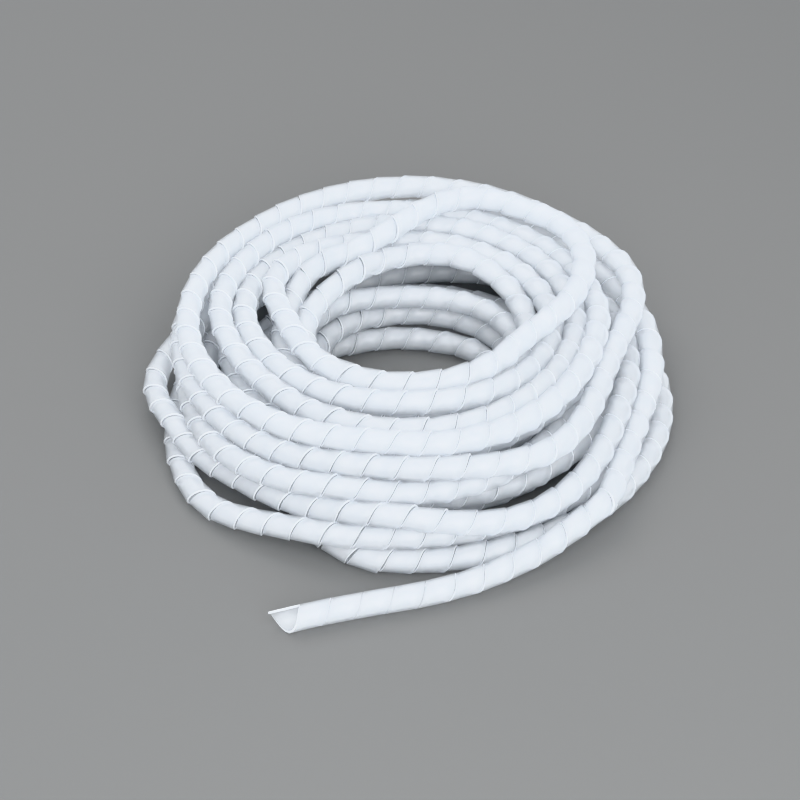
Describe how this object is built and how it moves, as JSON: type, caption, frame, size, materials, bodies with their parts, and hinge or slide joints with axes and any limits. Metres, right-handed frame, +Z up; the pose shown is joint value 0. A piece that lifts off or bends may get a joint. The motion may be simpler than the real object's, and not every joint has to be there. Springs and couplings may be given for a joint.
{
  "type": "spiral cable wrap coil",
  "caption": "Coil of translucent spiral cable wrap: a plastic tube with a helical slit, wound into a loose ring with one free end.",
  "frame": {"origin": "centre of the footprint of the coil with its free end, on the floor that it lies on", "axes": "+Z up along the coil's bore; the free end runs along the floor on the -Y side, its open end towards -X"},
  "size_m": [0.268, 0.3082, 0.0536],
  "materials": {
    "natural_polyethylene": "translucent milky white, satin"
  },
  "bodies": {
    "root": {"spiral_wrap": "natural_polyethylene"}
  },
  "joints": []
}
